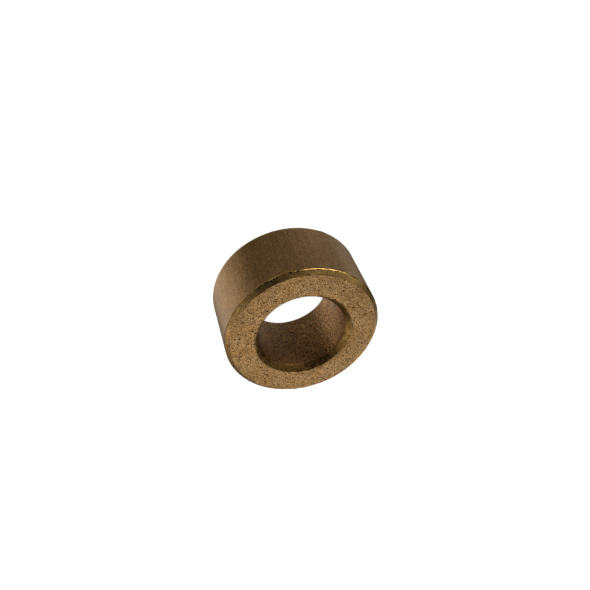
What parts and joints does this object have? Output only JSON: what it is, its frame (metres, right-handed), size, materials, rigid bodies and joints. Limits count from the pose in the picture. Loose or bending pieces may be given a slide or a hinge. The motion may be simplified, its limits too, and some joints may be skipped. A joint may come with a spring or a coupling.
{
  "type": "plain sleeve bushing",
  "caption": "Plain sintered bronze sleeve bushing: a thick-walled ring with a smooth bore for a shaft and chamfered ends for pressing into a housing.",
  "frame": {"origin": "centre of the lower end face, on the bore's axis", "axes": "+Z along the bore, from the lower end face to the upper one; the part is round about Z, so X and Y are free"},
  "size_m": [0.0254, 0.0254, 0.0127],
  "materials": {
    "sintered_bronze": "sintered and sized, open pores on the ends, burnished chamfers"
  },
  "bodies": {
    "root": {"bushing_sleeve": "sintered_bronze"}
  },
  "joints": []
}
